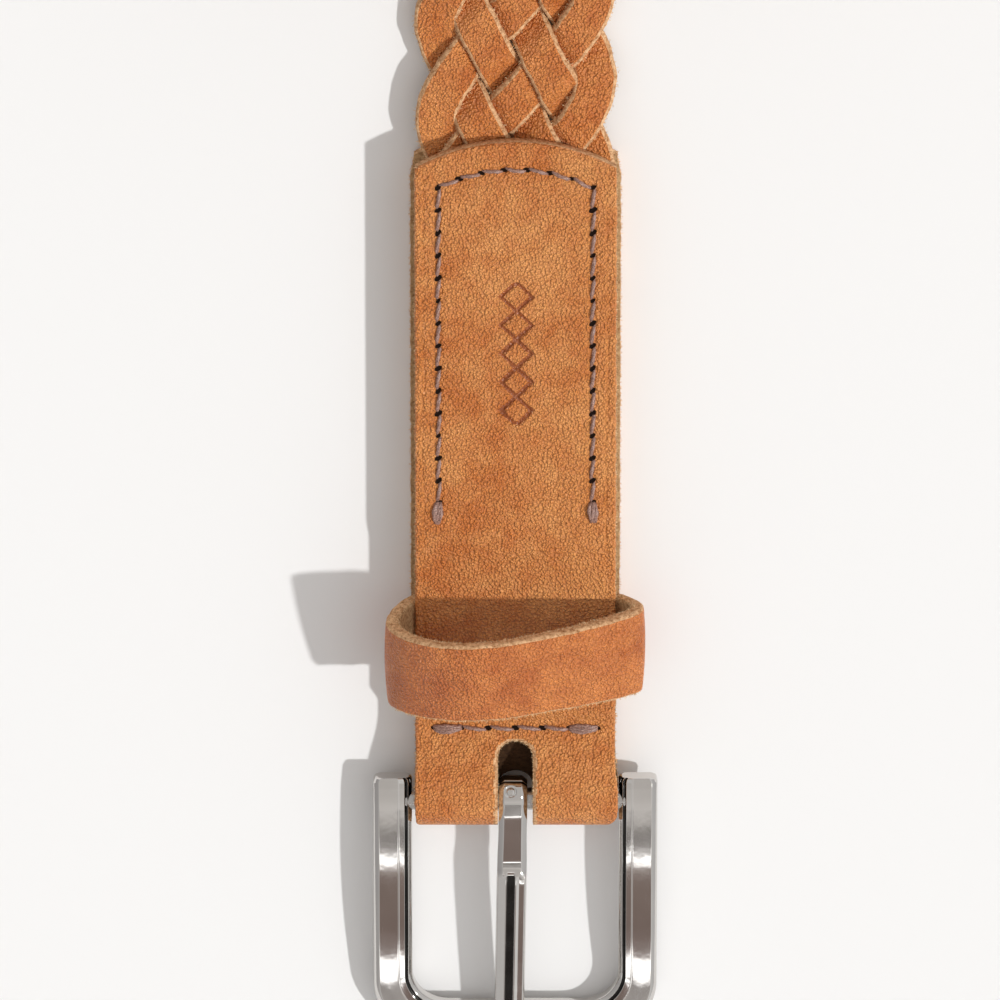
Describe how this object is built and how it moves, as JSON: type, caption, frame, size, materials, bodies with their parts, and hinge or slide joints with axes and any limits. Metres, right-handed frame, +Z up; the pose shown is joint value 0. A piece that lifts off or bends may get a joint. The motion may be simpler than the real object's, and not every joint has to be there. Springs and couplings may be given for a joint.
{
  "type": "leather belt",
  "caption": "Braided leather belt with a stitched folded head, heel-bar buckle, sliding keeper and rounded stitched tip, partly rolled up.",
  "frame": {"origin": "on the surface the belt lies on, under the middle of the stitched head", "axes": "+X across the belt, +Y along the belt from the buckle towards the tip, +Z up out of the grain side"},
  "size_m": [0.05, 0.3075, 0.0832],
  "materials": {
    "buckle_metal": "polished nickel plate",
    "bar_metal": "plain drawn steel",
    "head_leather": "pebbled tan grain leather with raw cut edges",
    "strand_leather": "pebbled tan grain leather strip with raw cut edges",
    "thread": "twisted brown sewing thread"
  },
  "bodies": {
    "strap": {"buckle_tab": "head_leather", "strand_1": "strand_leather", "strand_2": "strand_leather", "strand_3": "strand_leather", "strand_4": "strand_leather", "strand_5": "strand_leather", "strand_6": "strand_leather", "tip_face": "head_leather", "tip_lining": "head_leather", "head_top_thread": "thread", "head_bobbin_thread": "thread", "cross_top_thread": "thread", "cross_bobbin_thread": "thread", "tip_top_thread": "thread", "tip_bobbin_thread": "thread"},
    "frame": {"buckle_frame": "buckle_metal", "heel_bar": "bar_metal"},
    "prong": {"prong": "buckle_metal"},
    "keeper": {"keeper": "head_leather", "keeper_staples": "bar_metal"}
  },
  "joints": [
    {"name": "buckle_hinge", "type": "hinge", "parent": "strap", "child": "frame", "pos_m": [0, -0.085, 0.00465], "axis": [1, 0, 0], "range_deg": [-45, 15]},
    {"name": "prong_hinge", "type": "hinge", "parent": "frame", "child": "prong", "pos_m": [0, -0.085, 0.00465], "axis": [1, 0, 0], "range_deg": [-65, 0]},
    {"name": "keeper_slide", "type": "slide", "parent": "strap", "child": "keeper", "axis": [0, 1, 0], "range_m": [-0.003, 0.0055]}
  ]
}
